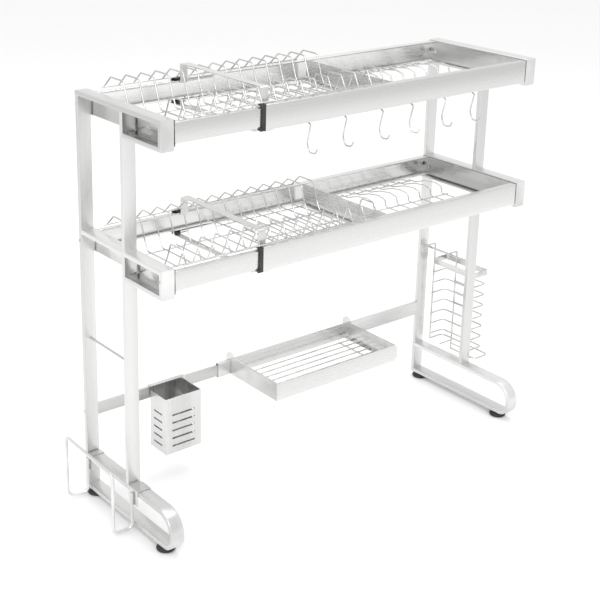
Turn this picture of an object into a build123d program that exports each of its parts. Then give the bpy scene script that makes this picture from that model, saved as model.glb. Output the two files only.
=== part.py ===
from build123d import *
import os

# Over-sink dish drying rack, millimetres. +X right, +Y towards the wall, +Z up.
# The origin is on the floor, midway between the ends and between front and back.

# ---- side frames, of flat rectangular tube ----
WIDTH = 950  # over the outer faces of the two side frames
HEIGHT = 836  # floor to the top of the frames
DEPTH = 284  # frame depth at the trays
BACK = 152  # rear face of the frames
TUBE_W = 28  # tube size along X
TUBE_T = 9  # tube size in the plane of the frame
WALL = 1  # tube wall
FRONT = BACK - DEPTH
OUT = WIDTH / 2
INN = OUT - TUBE_W
MID = BACK - 153  # rear face of the middle post
NOSE = BACK - 312  # front of the floor loop
POST = BACK - TUBE_T  # front face of the back post
FLOOR_GAP = 11.5  # floor to the underside of the floor loop
FOOT_TOP = 88.5  # top of the floor loop
TIER_RISE = 270  # lower tray to upper tray
LOOP_DROP = 56  # height of the loop that carries a tray
CORNER = 3

# ---- trays ----
SLEEVE_H = 47
SLEEVE_D = 15  # flange depth of a sleeve rail
RAIL_H = 38
RAIL_D = 11
SHEET = 1
LIP = 4
TRAY_DROP = 2.5  # tray top below the frame top
MOUTH = -250  # open end of the sleeve rails
COLLAR = 17
BUSH = 15
END_GAP = 2  # tray end wall to frame
TRAY_END = INN - END_GAP
RAIL_TIP = -170  # hidden end of the sliding rails
DIVIDER_X = 71
FRONT_EDGE = FRONT + SLEEVE_D
BACK_EDGE = BACK - SLEEVE_D
CROSSBAR_W = 16
CROSSBAR_T = 2

# ---- wire goods ----
WIRE = 3
PLATE_WIRES = 15
PLATE_PITCH = 32.9
PLATE_START = -420
BOWL_WIRES = 7
BOWL_PITCH = 34
BOWL_START = 159
CUP_START = -162
BOWL_HUMP = 19
CUP_HUMP = 3
WELD = 0.8  # how far crossing wires sink into each other
HOOK_ROOM = 4.6  # front rail's lip to the low racks, so that the hooks slide past
HOOK_X = [-138, -49, 45, 126, 217, 300]

# ---- stretcher and what hangs on it ----
STRETCHER_Z = (163.5, 196)
STRETCHER_MOUTH = -148.6
INNER_Z = (167, 192)
CUP_X = (-323, -235)
CUP_DEPTH = 57
CUP_Z = (60, 185)
TRAY_X = (-115, 222)
TRAY_Z = (163, 201)
TRAY_FRONT = -16

# ---- ends ----
TIE_Z = 340
TIE_D = 5
FOOT_R = 18.5
STUD_R = 4
LEVEL = OUT - TUBE_W / 2  # centre line of a side frame
HOOP_X = -522
HOOP_D = 6.5
RACK_X = 523.5
RACK_WIRE = 3.5


def keep(builder, label):
    """Name a finished piece and write its file."""
    builder.part.label = label
    export_step(builder.part, "parts/" + label + ".step")


def block(x, y, z, mode=Mode.ADD):
    """Box between two limits along each axis."""
    with Locations(((x[0] + x[1]) / 2, (y[0] + y[1]) / 2, (z[0] + z[1]) / 2)):
        Box(abs(x[1] - x[0]), abs(y[1] - y[0]), abs(z[1] - z[0]), mode=mode)


def rect(a, b, mode=Mode.ADD):
    """Rectangle between two limits in the plane being sketched."""
    with Locations(((a[0] + a[1]) / 2, (b[0] + b[1]) / 2)):
        Rectangle(abs(a[1] - a[0]), abs(b[1] - b[0]), mode=mode)


def rod(points, diameter, bend=4):
    """Round wire along straight runs joined by bends."""
    with BuildLine() as path:
        if len(points) == 2:
            Line(*points)
        else:
            FilletPolyline(*points, radius=bend)
    with BuildSketch(Plane(origin=path.line @ 0, z_dir=path.line % 0)) as disc:
        Circle(diameter / 2)
    sweep(sections=disc.sketch, path=path.line)


def pin(x, y, z, radius, length, mode=Mode.ADD):
    """Cylinder along X that starts at x and runs for the signed length."""
    with Locations(Location((x + length / 2, y, z), (0, 90, 0))):
        Cylinder(radius, abs(length), mode=mode)


def pin_y(x, y, z, radius, length, mode=Mode.ADD):
    """Cylinder along Y that starts at y and runs for the signed length."""
    with Locations(Location((x, y + length / 2, z), (90, 0, 0))):
        Cylinder(radius, abs(length), mode=mode)


def inset(side):
    """X limits of the inside of a side frame's tube."""
    return (side * LEVEL - TUBE_W / 2 + WALL, side * LEVEL + TUBE_W / 2 - WALL)


def span(side):
    """X limits of a side frame's tube."""
    return (side * LEVEL - TUBE_W / 2, side * LEVEL + TUBE_W / 2)


# =====================================================================
# Side frames
# =====================================================================
BOLT_Y = BACK - 4
FRONT_BOLT_Y = FRONT + 4
BOLT_R = 2.0
HOLE_R = 2.05
BACK_BOLTS = [810, 543, 179.5]
FRONT_BOLT_Z = 545
SPARE_R = 2.3
SPARE_BACK_Z = 500
SPARE_FRONT_Z = 503


def frame_holes(side, y, heights, spare_z):
    """Bolt holes in the outer wall of a frame tube and one spare hole."""
    outer = side * OUT
    for z in heights:
        pin(outer, y, z, HOLE_R, -side * WALL, Mode.SUBTRACT)
    face = outer if side < 0 else side * INN + side * WALL
    pin(face, y, spare_z, SPARE_R, -side * WALL, Mode.SUBTRACT)


def back_post(side, label):
    """Upright tube at the rear, closed at its foot."""
    with BuildPart() as post:
        block(span(side), (POST, BACK), (FLOOR_GAP, HEIGHT - TUBE_T))
        block(
            inset(side),
            (POST + WALL, BACK - WALL),
            (FLOOR_GAP + WALL, HEIGHT - TUBE_T),
            Mode.SUBTRACT,
        )
        frame_holes(side, BOLT_Y, BACK_BOLTS, SPARE_BACK_Z)
    keep(post, label)


def mid_post(side, z, label):
    """Upright tube between two loops, open at both ends."""
    with BuildPart() as post:
        block(span(side), (MID - TUBE_T, MID), z)
        block(inset(side), (MID - TUBE_T + WALL, MID - WALL), z, Mode.SUBTRACT)
    keep(post, label)


def loop_outline(top, rear, shrink):
    """Hook-shaped outline of a tray loop: top bar, front leg and bottom bar."""
    low = top - LOOP_DROP + shrink
    high = top - shrink
    reach = TUBE_T - shrink
    rect((FRONT + shrink, rear), (top - reach, high))
    rect((FRONT + shrink, FRONT + reach), (low, high))
    rect((FRONT + shrink, MID - TUBE_T), (low, top - LOOP_DROP + reach))


def tray_loop(side, top, rear, rear_wall, bolts, label):
    """Flat tube bent into the loop that holds one end of a tray."""
    x0, x1 = span(side)
    with BuildPart() as loop:
        with BuildSketch(Plane.YZ.offset(x0)) as outer:
            loop_outline(top, rear, 0)
            corners = outer.vertices().filter_by(lambda v: abs(v.X - FRONT) < 0.1)
            fillet(corners, CORNER)
        extrude(amount=x1 - x0)
        with BuildSketch(Plane.YZ.offset(x0 + WALL)) as inner:
            loop_outline(top, rear - rear_wall, WALL)
        extrude(amount=x1 - x0 - 2 * WALL, mode=Mode.SUBTRACT)
        if bolts:
            frame_holes(side, FRONT_BOLT_Y, [FRONT_BOLT_Z], SPARE_FRONT_Z)
    keep(loop, label)


def nose_shape(shrink):
    """Outline of the floor loop, rounded at the front, moved inwards by shrink."""
    rear = (POST, FLOOR_GAP + shrink)
    low = (NOSE + shrink, FLOOR_GAP + shrink)
    high = (NOSE + shrink, FOOT_TOP - shrink)
    end = (POST, FOOT_TOP - shrink)
    with BuildLine() as edge:
        FilletPolyline(rear, low, high, end, radius=[30 - shrink, 44 - shrink])
        Line(end, rear)
    make_face(edge.edges())


def foot_loop(side, feet_y, label):
    """Floor loop: flat tube bent round at the front, with holes for the feet."""
    x0, x1 = span(side)
    shapes = []
    for shrink in (0, TUBE_T, WALL, TUBE_T - WALL):
        with BuildSketch(Plane.YZ) as shape:
            nose_shape(shrink)
        shapes.append(shape.sketch_local)
    with BuildPart() as loop:
        with BuildSketch(Plane.YZ.offset(x0)):
            add(shapes[0])
            add(shapes[1], mode=Mode.SUBTRACT)
        extrude(amount=x1 - x0)
        with BuildSketch(Plane.YZ.offset(x0 + WALL)):
            add(shapes[2])
            add(shapes[3], mode=Mode.SUBTRACT)
        extrude(amount=x1 - x0 - 2 * WALL, mode=Mode.SUBTRACT)
        for y in feet_y:
            with Locations((side * LEVEL, y, FLOOR_GAP)):
                Cylinder(STUD_R + 0.05, 4, mode=Mode.SUBTRACT)
    keep(loop, label)


def foot(side, y, label):
    """Levelling foot: low dome with a flat base and a stud."""
    base = FOOT_R - 3.5
    top = FLOOR_GAP - 0.3
    with BuildPart() as pad:
        with BuildSketch(Plane.XZ.offset(-y)):
            with BuildLine() as edge:
                Polyline((0, 0), (base, 0), (FOOT_R, 2.5), (FOOT_R, 4.5))
                ThreePointArc((FOOT_R, 4.5), (FOOT_R - 3.2, 8.6), (10, top))
                Polyline((10, top), (STUD_R, top), (STUD_R, top + 5), (0, top + 5), (0, 0))
            with Locations((side * LEVEL, 0)):
                add(make_face(edge.edges(), mode=Mode.PRIVATE))
        revolve(axis=Axis((side * LEVEL, y, 0), (0, 0, 1)))
    keep(pad, label)


def tie_rod(side, label):
    """Thin rod between the back and middle posts."""
    with BuildPart() as tie:
        rod([(side * LEVEL, MID, TIE_Z), (side * LEVEL, POST, TIE_Z)], TIE_D)
    keep(tie, label)


def end_bolts(side, label):
    """Bolts that hold the tray ends, the back rails and the stretcher."""
    outer = side * OUT
    with BuildPart() as bolts:
        for y, z in [(BOLT_Y, z) for z in BACK_BOLTS] + [(FRONT_BOLT_Y, FRONT_BOLT_Z)]:
            pin(outer, y, z, BOLT_R, -side * 6)
            pin(outer, y, z, 3.6, side * 1.4)
            pin(outer, y, z, 2.6, side * 2)
        for top in (HEIGHT - TRAY_DROP, HEIGHT - TRAY_DROP - TIER_RISE):
            wall = side * (TRAY_END - SHEET)
            pin(wall + side * 2.5, BACK_EDGE - 8, top - 24, BOLT_R, -side * 5)
            pin(wall, BACK_EDGE - 8, top - 24, 4.5, -side * 3.4)
            pin_y(wall - side * 8, BACK + 1, top - 21, BOLT_R, -5)
            pin_y(wall - side * 8, rear_web(side), top - 21, 4.5, -3.4)
    keep(bolts, label)


def rear_web(side):
    """Inner face of the back rail's web at one end."""
    return BACK - SHEET if side > 0 else BACK - SHEET - RAIL_SET


FRONT_FOOT_Y = NOSE + 42
BACK_FOOT_Y = POST - 10
RAIL_SET = 3.1  # inner rail's web behind the sleeve rail's web


def side_frame(side, name):
    """All the pieces of one end of the rack."""
    back_post(side, name + "_back_post")
    lower_top = HEIGHT - TIER_RISE
    mid_post(side, (FOOT_TOP, lower_top - TUBE_T), name + "_lower_mid_post")
    mid_post(side, (lower_top, HEIGHT - TUBE_T), name + "_upper_mid_post")
    tray_loop(side, HEIGHT, BACK, WALL, False, name + "_upper_loop")
    tray_loop(side, lower_top, POST, 0, True, name + "_lower_loop")
    foot_loop(side, (FRONT_FOOT_Y, BACK_FOOT_Y), name + "_foot_loop")
    foot(side, FRONT_FOOT_Y, name + "_front_foot")
    foot(side, BACK_FOOT_Y, name + "_back_foot")
    tie_rod(side, name + "_tie_rod")
    end_bolts(side, name + "_bolts")


# =====================================================================
# Trays
# =====================================================================
def channel(web, way, depth, z0, z1):
    """Lipped channel section: web at one side, flanges going way (+1 or -1)."""
    edge = web + way * depth
    rect((web, edge), (z0, z1))
    rect((web + way * SHEET, edge - way * SHEET), (z0 + SHEET, z1 - SHEET), Mode.SUBTRACT)
    rect((edge - way * SHEET, edge), (z0 + LIP, z1 - LIP), Mode.SUBTRACT)


def sleeve_rail(top, web, way, bolt, label):
    """Outer tray rail with a thickened collar at its open end."""
    low = top - SLEEVE_H
    with BuildPart() as rail:
        with BuildSketch(Plane.YZ.offset(MOUTH)):
            channel(web, way, SLEEVE_D, low, top)
        extrude(amount=TRAY_END - SHEET - MOUTH)
        with BuildSketch(Plane.YZ.offset(MOUTH)):
            rect((web - way, web + way * SLEEVE_D), (low - 2, top + 0.8))
            hollow = (web + way * SHEET / 2, web + way * (SLEEVE_D + 1))
            rect(hollow, (low + SHEET / 2, top - SHEET / 2), Mode.SUBTRACT)
        extrude(amount=COLLAR)
        if bolt:
            pin_y(TRAY_END - SHEET - 8, BACK + 1, top - 21, HOLE_R, -4, Mode.SUBTRACT)
    keep(rail, label)


def sliding_rail(top, web, way, bolt, label):
    """Inner tray rail that slides in the sleeve rail."""
    mid = top - SLEEVE_H / 2
    with BuildPart() as rail:
        with BuildSketch(Plane.YZ.offset(-TRAY_END + SHEET)):
            channel(web + way * RAIL_SET, way, RAIL_D, mid - RAIL_H / 2, mid + RAIL_H / 2)
        extrude(amount=RAIL_TIP + TRAY_END - SHEET)
        if bolt:
            pin_y(-TRAY_END + SHEET + 8, BACK + 1, top - 21, HOLE_R, -6, Mode.SUBTRACT)
    keep(rail, label)


def guide_bushes(top, label):
    """Two C-shaped slides, one in the mouth of each sleeve rail."""
    low = top - SLEEVE_H
    mid = top - SLEEVE_H / 2
    clear = (mid - RAIL_H / 2 - 0.3, mid + RAIL_H / 2 + 0.3)
    with BuildPart() as bushes:
        for web, way in ((FRONT, 1), (BACK, -1)):
            passage = (web + way * (RAIL_SET - 0.4), web + way * 20)
            with BuildSketch(Plane.YZ.offset(MOUTH)):
                rect((web - way * 0.6, web + way * SLEEVE_D), (low - 1, top + 1))
                rect(passage, clear, Mode.SUBTRACT)
            extrude(amount=-BUSH)
            with BuildSketch(Plane.YZ.offset(MOUTH)):
                rect((web + way * 1.3, web + way * 13.5), (low + 1.3, top - 1.3))
                rect(passage, clear, Mode.SUBTRACT)
            extrude(amount=COLLAR)
    keep(bushes, label)


def end_wall(side, top, label):
    """Sheet wall that closes a tray, with an inner ledge and an outer foot."""
    low = top - SLEEVE_H
    web = (side * (TRAY_END - SHEET), side * TRAY_END)
    ledge = side * (TRAY_END - SHEET - 12)
    rest = top + TRAY_DROP - LOOP_DROP + TUBE_T + 0.4
    with BuildPart() as wall:
        block(web, (FRONT + 1, BACK - 1), (low, top))
        block((ledge, web[0]), (FRONT_EDGE, BACK_EDGE), (low, low + SHEET))
        block((ledge, ledge + side * SHEET), (FRONT_EDGE, BACK_EDGE), (low, low + LIP))
        block((web[1], side * (OUT - 12)), (FRONT + TUBE_T + 2, MID - TUBE_T - 2), (rest, rest + SHEET))
        pin(side * (TRAY_END + 1), BACK_EDGE - 8, top - 24, HOLE_R, -side * 4, Mode.SUBTRACT)
    keep(wall, label)


def divider(top, label):
    """Sheet wall across the tray with a ledge towards the plates."""
    low = top - SLEEVE_H
    with BuildPart() as wall:
        block((DIVIDER_X - SHEET, DIVIDER_X), (FRONT_EDGE, BACK_EDGE), (low, top))
        block((DIVIDER_X - 12, DIVIDER_X), (FRONT_EDGE, BACK_EDGE), (low, low + SHEET))
        block((DIVIDER_X - 12, DIVIDER_X - 12 + SHEET), (FRONT_EDGE, BACK_EDGE), (low, low + LIP))
    keep(wall, label)


STRAP_T = 1.5
STRAP_RISE = 30


def bridge_strap(top, label):
    """Strap that ties the mouths of the two sleeve rails over the tray."""
    x = (MOUTH, MOUTH + COLLAR)
    legs = (top - 10, top + STRAP_RISE)
    with BuildPart() as strap:
        block(x, (FRONT_EDGE, FRONT_EDGE + STRAP_T), legs)
        block(x, (BACK_EDGE - STRAP_T, BACK_EDGE), legs)
        block(x, (FRONT_EDGE, BACK_EDGE), (top + STRAP_RISE - STRAP_T, top + STRAP_RISE))
        edges = strap.edges().filter_by(Axis.X).group_by(Axis.Z)[-1]
        fillet(edges, 5)
    keep(strap, label)


def crossbar(top, label):
    """Flat bar with a slot, under the guide bushes."""
    x = MOUTH - BUSH / 2
    z = top - SLEEVE_H - 1
    with BuildPart() as bar:
        block((x - CROSSBAR_W / 2, x + CROSSBAR_W / 2 - 1), (FRONT + 2, BACK - 2), (z - CROSSBAR_T, z))
        with BuildSketch(Plane.XY.offset(z)):
            with Locations((x - 0.5, BACK - 102)):
                SlotOverall(20, 7, rotation=90)
        extrude(amount=-CROSSBAR_T, mode=Mode.SUBTRACT)
    keep(bar, label)


def tray(top, name):
    """The rails, walls and slides of one tray."""
    sleeve_rail(top, FRONT, 1, False, name + "_front_sleeve")
    sleeve_rail(top, BACK, -1, True, name + "_back_sleeve")
    sliding_rail(top, FRONT, 1, False, name + "_front_rail")
    sliding_rail(top, BACK, -1, True, name + "_back_rail")
    guide_bushes(top, name + "_guide_bushes")
    end_wall(-1, top, name + "_left_end_wall")
    end_wall(1, top, name + "_right_end_wall")
    divider(top, name + "_divider")
    bridge_strap(top, name + "_bridge_strap")
    crossbar(top, name + "_crossbar")


# =====================================================================
# Wire racks in the trays
# =====================================================================
PLATE_RISE = 27
PLATE_FLOOR = 31


def plate_profile(x, top):
    """Bends of one plate wire: rear hoop, floor, front hoop."""
    heights = [
        (BACK - 12, 3),
        (BACK - 38, PLATE_RISE),
        (BACK - 81, PLATE_RISE),
        (BACK - 96, -12),
        (BACK - 106, -PLATE_FLOOR),
        (FRONT + 78, -PLATE_FLOOR),
        (FRONT + 63, 0),
        (FRONT + 52, PLATE_RISE + 1),
        (FRONT + 17, PLATE_RISE + 1),
        (FRONT + 4, 3.2),
    ]
    return [(x, y, top + z) for y, z in heights]


def plate_rack(top, label):
    """Row of bent wires on long wires that rest on the tray's rails."""
    first = PLATE_START
    last = PLATE_START + (PLATE_WIRES - 1) * PLATE_PITCH
    with BuildPart() as rack:
        for y, z in (
            (BACK - 12, 3),
            (FRONT + 4.2, 3.7),
            (BACK - 112, -PLATE_FLOOR - WIRE + WELD),
            (FRONT + 88, -PLATE_FLOOR - WIRE + WELD),
        ):
            rod([(first - 6, y, top + z), (last + 6, y, top + z)], WIRE)
        for n in range(PLATE_WIRES):
            rod(plate_profile(first + n * PLATE_PITCH, top), WIRE, 5)
    keep(rack, label)


def bowl_rack(first, top, hump, label):
    """Low rack of humped wires that lies on the tray's lower ledges."""
    rest = top - SLEEVE_H + LIP + WIRE / 2 + 0.4
    last = first + (BOWL_WIRES - 1) * BOWL_PITCH
    heights = [
        (BACK_EDGE - 1, 0),
        (BACK - 35, 0),
        (BACK - 44, 0.27 * hump),
        (BACK - 62, 0.27 * hump),
        (BACK - 92, 0.8 * hump),
        (BACK - 122, hump),
        (BACK - 141, 0.8 * hump),
        (BACK - 146, 0),
        (BACK - 196, 0),
        (FRONT + 62, 0.37 * hump),
        (FRONT + 48, 0.37 * hump),
        (FRONT + 34, 0),
        (FRONT_EDGE + HOOK_ROOM, 0),
    ]
    with BuildPart() as rack:
        for y in (BACK - 34, BACK - 151, BACK - 186):
            z = rest - WIRE + WELD
            rod([(first - 12, y, z), (last + 14, y, z)], WIRE)
        for n in range(BOWL_WIRES):
            x = first + n * BOWL_PITCH
            rod([(x, y, rest + z) for y, z in heights], WIRE, 2.5)
    keep(rack, label)


def hanging_hook(x, top, label):
    """J hook that hangs from the lip of the front rail."""
    lip = top - SLEEVE_H + LIP
    y = FRONT_EDGE
    profile = [
        (y - 5, lip - 1.2),
        (y - 5, lip + 2),
        (y + 2.2, lip + 2),
        (y + 2.2, lip - 7),
        (y - 6, lip - 10),
        (y - 9, lip - 54),
        (y - 13, lip - 65),
        (y - 20, lip - 65),
        (y - 24, lip - 54),
    ]
    with BuildPart() as hook:
        rod([(x, a, b) for a, b in profile], WIRE, [1.6, 1.6, 2, 3, 10, 3.5, 3.5])
    keep(hook, label)


# =====================================================================
# Stretcher, utensil cup and soap tray
# =====================================================================
def stretcher():
    """Telescoping bar between the back posts."""
    with BuildPart() as outer:
        block((STRETCHER_MOUTH, INN), (POST, BACK), STRETCHER_Z)
        block(
            (STRETCHER_MOUTH, INN),
            (POST + WALL, BACK - WALL),
            (STRETCHER_Z[0] + WALL, STRETCHER_Z[1] - WALL),
            Mode.SUBTRACT,
        )
    keep(outer, "stretcher_sleeve")
    y = (POST + WALL + 0.4, BACK - WALL - 0.4)
    with BuildPart() as inner:
        block((-INN, 60), y, INNER_Z)
        block(
            (-INN, 60),
            (y[0] + WALL, y[1] - WALL),
            (INNER_Z[0] + WALL, INNER_Z[1] - WALL),
            Mode.SUBTRACT,
        )
    keep(inner, "stretcher_tube")


SLOTS = 5
SLOT_PITCH = 17.5
SLOT_LOW = 76
SLOT_H = 4


def utensil_cup():
    """Sheet cup with drain slots and a lip folded over the stretcher."""
    rear = POST - 0.5
    front = rear - CUP_DEPTH
    over = INNER_Z[1] + 0.5
    behind = BACK - WALL + 0.6
    with BuildPart() as cup:
        block(CUP_X, (front, rear), CUP_Z)
        inside_x = (CUP_X[0] + SHEET, CUP_X[1] - SHEET)
        inside_y = (front + SHEET, rear - SHEET)
        block(inside_x, inside_y, (CUP_Z[0] + SHEET, CUP_Z[1]), Mode.SUBTRACT)
        block(CUP_X, (rear - SHEET, rear), (CUP_Z[0], over + SHEET))
        block(CUP_X, (rear - SHEET, behind), (over, over + SHEET))
        block(CUP_X, (behind, behind + SHEET), (over - 14, over + SHEET))
        for n in range(SLOTS):
            z = SLOT_LOW + n * SLOT_PITCH
            slot_z = (z - SLOT_H / 2, z + SLOT_H / 2)
            block((CUP_X[0] + 16, CUP_X[0] + 72), (front - 1, front + 2), slot_z, Mode.SUBTRACT)
            for x in CUP_X:
                block((x - 2, x + 2), (front + 14, rear - 13), slot_z, Mode.SUBTRACT)
        with Locations(((CUP_X[0] + CUP_X[1]) / 2, (front + rear) / 2, CUP_Z[0])):
            with GridLocations(16, 14, 5, 3):
                Cylinder(2.5, 4, mode=Mode.SUBTRACT)
    keep(cup, "utensil_cup")


GRID_WIRES = 7
GRID_PITCH = 20


def soap_tray():
    """Sheet frame hung on the stretcher, and the wire grid that floors it."""
    x0, x1 = TRAY_X
    z0, z1 = TRAY_Z
    rear = POST - 0.6
    over = STRETCHER_Z[1] + 0.5
    end = BACK + 8
    with BuildPart() as frame:
        block((x0, x1), (TRAY_FRONT, TRAY_FRONT + SHEET), TRAY_Z)
        block((x0, x1), (rear - SHEET, rear), TRAY_Z)
        block((x0, x0 + SHEET), (TRAY_FRONT, rear), TRAY_Z)
        block((x1 - SHEET, x1), (TRAY_FRONT, rear), TRAY_Z)
        block((x0, x0 + 5), (TRAY_FRONT, rear), (z1 - SHEET, z1))
        block((x1 - 10, x1), (TRAY_FRONT, rear), (z0, z0 + SHEET))
        for x in ((x0, x0 + SHEET), (x1 - SHEET, x1)):
            block(x, (rear, end), (over, z1 + 12))
            block(x, (BACK + 0.5, end), (over - 16, over))
            block(x, (rear - 12, rear), (z1, z1 + 12))
        hooks = frame.edges().filter_by(Axis.X).group_by(Axis.Z)[-1]
        chamfer(hooks, 9)
        block((x1, x1 + 6), (TRAY_FRONT, TRAY_FRONT + SHEET), (z0 + 5, z1 - 5))
    keep(frame, "soap_tray_frame")
    rest = z0 + SHEET + WIRE / 2
    with BuildPart() as grid:
        for n in range(GRID_WIRES):
            y = TRAY_FRONT + 18 + n * GRID_PITCH
            rod([(x0 + SHEET, y, rest), (x1 - SHEET, y, rest)], WIRE)
        for x in (x0 + 38, x1 - 38):
            z = rest - WIRE + 0.6
            rod([(x, TRAY_FRONT + 10, z), (x, TRAY_FRONT + 26 + 6 * GRID_PITCH, z)], WIRE)
    keep(grid, "soap_tray_grid")


# =====================================================================
# Board rack on the right, lid hoop on the left
# =====================================================================
RACK_LOOPS = 7
RACK_PITCH = 26.6
RACK_LOW = 112


def rack_ring(inner, front, rear, z):
    """Bends of one level loop of the board rack."""
    return [
        (inner, BACK - 96, z),
        (inner, front, z),
        (RACK_X, front, z),
        (RACK_X, rear, z),
        (inner - 0.2, rear, z),
    ]


def board_rack():
    """Basket of wire loops that hooks over the right tie rod."""
    inner = OUT + RACK_WIRE
    rear = BACK - 26
    front = BACK - 152
    post = inner + 1.8
    hook = TIE_Z + TIE_D / 2 + 2.7
    with BuildPart() as rack:
        for n in range(RACK_LOOPS):
            z = RACK_LOW + n * RACK_PITCH
            rod(rack_ring(inner, front, rear, z), RACK_WIRE, 8)
        low = RACK_LOW - 13
        rod(rack_ring(inner, front - 22, rear, low), 4, 12)
        for y in (rear, BACK - 96):
            rod([(post, y, low), (post, y, hook), (LEVEL - 9, y, hook), (LEVEL - 9, y, hook - 16)], 4, 4)
        for y in (BACK - 60, BACK - 130):
            rod([(inner, y, low - 3.2), (RACK_X, y, low - 3.2)], 3.5)
        band = (inner - RACK_WIRE / 2 + 0.1, RACK_X + RACK_WIRE / 2)
        with BuildSketch(Plane.XY.offset(295)):
            rect(band, (front - 3, rear + 2))
            rect((band[0] + 1.5, band[1] - 1.5), (front - 1.5, rear + 0.5), Mode.SUBTRACT)
        extrude(amount=13)
    keep(rack, "board_rack")


def lid_hoop():
    """Bent rod that stands off the left frame on two folded plates."""
    near = -OUT - 0.3 - 1.2 - HOOP_D / 2 + 0.4
    rear = BACK - 18
    mid = BACK - 182
    low = 8
    path = [
        (near, rear, FOOT_TOP - 4),
        (near, rear, low),
        (HOOP_X, rear + 10, low),
        (HOOP_X, rear + 10, 142),
        (HOOP_X, mid, 134),
        (HOOP_X, mid, low),
        (near, mid, low),
        (near, mid, FOOT_TOP - 4),
    ]
    with BuildPart() as hoop:
        rod(path, HOOP_D, 12)
        outer = (-OUT - 1.5, -OUT - 0.3)
        for y in ((rear - 8, rear + 6), (mid - 15, mid + 14)):
            block(outer, y, (58, FOOT_TOP + 1.5))
            block((-OUT - 1.5, -INN + 1.5), y, (FOOT_TOP + 0.3, FOOT_TOP + 1.5))
            block((-INN + 0.3, -INN + 1.5), y, (FOOT_TOP - 14, FOOT_TOP + 1.5))
    keep(hoop, "lid_hoop")


def build():
    """Make and write every piece."""
    os.makedirs("parts", exist_ok=True)
    side_frame(-1, "left")
    side_frame(1, "right")
    tiers = {"upper": HEIGHT - TRAY_DROP, "lower": HEIGHT - TRAY_DROP - TIER_RISE}
    for name, top in tiers.items():
        tray(top, name)
        plate_rack(top, name + "_plate_rack")
        bowl_rack(BOWL_START, top, BOWL_HUMP, name + "_bowl_rack")
        bowl_rack(CUP_START, top, CUP_HUMP, name + "_cup_rack")
    for n, x in enumerate(HOOK_X):
        hanging_hook(x, tiers["upper"], "hook_" + str(n + 1))
    stretcher()
    utensil_cup()
    soap_tray()
    board_rack()
    lid_hoop()


build()
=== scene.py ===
import math

import bpy
import numpy as np
from mathutils import Matrix, Vector


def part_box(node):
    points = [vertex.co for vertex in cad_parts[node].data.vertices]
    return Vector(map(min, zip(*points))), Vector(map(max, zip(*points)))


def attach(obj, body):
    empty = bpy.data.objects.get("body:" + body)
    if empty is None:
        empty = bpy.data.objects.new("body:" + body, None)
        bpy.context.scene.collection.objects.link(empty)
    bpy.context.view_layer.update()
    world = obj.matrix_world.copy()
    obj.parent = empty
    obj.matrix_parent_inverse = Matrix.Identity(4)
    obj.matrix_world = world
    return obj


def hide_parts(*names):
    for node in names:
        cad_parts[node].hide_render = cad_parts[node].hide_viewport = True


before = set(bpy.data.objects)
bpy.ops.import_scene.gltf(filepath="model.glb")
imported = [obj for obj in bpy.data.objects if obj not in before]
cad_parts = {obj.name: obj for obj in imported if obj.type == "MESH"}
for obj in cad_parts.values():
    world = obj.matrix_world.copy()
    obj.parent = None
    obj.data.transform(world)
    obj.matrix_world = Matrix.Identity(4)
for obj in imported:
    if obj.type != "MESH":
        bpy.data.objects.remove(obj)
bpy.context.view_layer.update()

# =====================================================================
# Sizes, in millimetres, worked out from the frame
# =====================================================================
MM = 0.001
X_AXIS = (1, 0, 0)
Y_AXIS = (0, 1, 0)
Z_AXIS = (0, 0, 1)


def limits(node):
    """A node's lowest and highest corners at rest, in millimetres."""
    lo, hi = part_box(node)
    return np.array(lo) / MM, np.array(hi) / MM


TUBE_W = 28.0
TUBE_T = 9.0
TUBE_R = 1.3
HALF_T = TUBE_T / 2
SHEET = 1.0
HALF_SHEET = SHEET / 2
WIRE = 3.0
BACK = float(limits("left_back_post")[1][1])
POST = BACK - TUBE_T
FRONT = float(limits("left_upper_loop")[0][1])
OUT = float(limits("right_back_post")[1][0])
INN = OUT - TUBE_W
LEVEL = OUT - TUBE_W / 2
HEIGHT = float(limits("left_upper_loop")[1][2])
LOWER = float(limits("left_lower_loop")[1][2])
MID = float(limits("left_lower_mid_post")[1][1])
FLOOR_GAP = float(limits("left_foot_loop")[0][2])
FOOT_TOP = float(limits("left_foot_loop")[1][2])
NOSE = float(limits("left_foot_loop")[0][1])
LOOP_DROP = 56.0
TRAY_DROP = 2.5
TOPS = {"upper": HEIGHT - TRAY_DROP, "lower": LOWER - TRAY_DROP}
SLEEVE_H = 47.0
SLEEVE_D = 15.0
RAIL_D = 11.0
RAIL_SET = 3.1
LIP = 4.0
LEDGE = 12.0
COLLAR = 17.0
COLLAR_T = 1.5
STRAP_T = 1.5
TRAY_END = float(limits("upper_right_end_wall")[0][0]) + SHEET + LEDGE

# =====================================================================
# Surfaces: a section carried along a path
# =====================================================================


def round_corners(points, radius, steps=5, closed=False):
    """Replace each corner by an arc: two tangent points one set-back from the
    corner, and points between them that turn evenly about the arc's centre."""
    points = np.asarray(points, float)
    count = len(points)
    radii = np.broadcast_to(np.asarray(radius, float), count)
    out = []
    for n in range(count):
        here = points[n]
        if not closed and n in (0, count - 1):
            out.append(here[None])
            continue
        before = points[n - 1] - here
        after = points[(n + 1) % count] - here
        before = before / np.linalg.norm(before)
        after = after / np.linalg.norm(after)
        half = math.acos(np.clip(before @ after, -1, 1)) / 2
        if radii[n] <= 0 or half > math.pi / 2 - 0.02:
            out.append(here[None])
            continue
        setback = radii[n] / math.tan(half)
        middle = before + after
        centre = here + middle / np.linalg.norm(middle) * radii[n] / math.sin(half)
        start = here + before * setback - centre
        stop = here + after * setback - centre
        sweep = math.pi - 2 * half
        t = np.linspace(0, 1, steps + 1)[:, None]
        arc = (np.sin((1 - t) * sweep) * start + np.sin(t * sweep) * stop) / math.sin(sweep)
        out.append(centre + arc)
    return np.concatenate(out)


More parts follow.
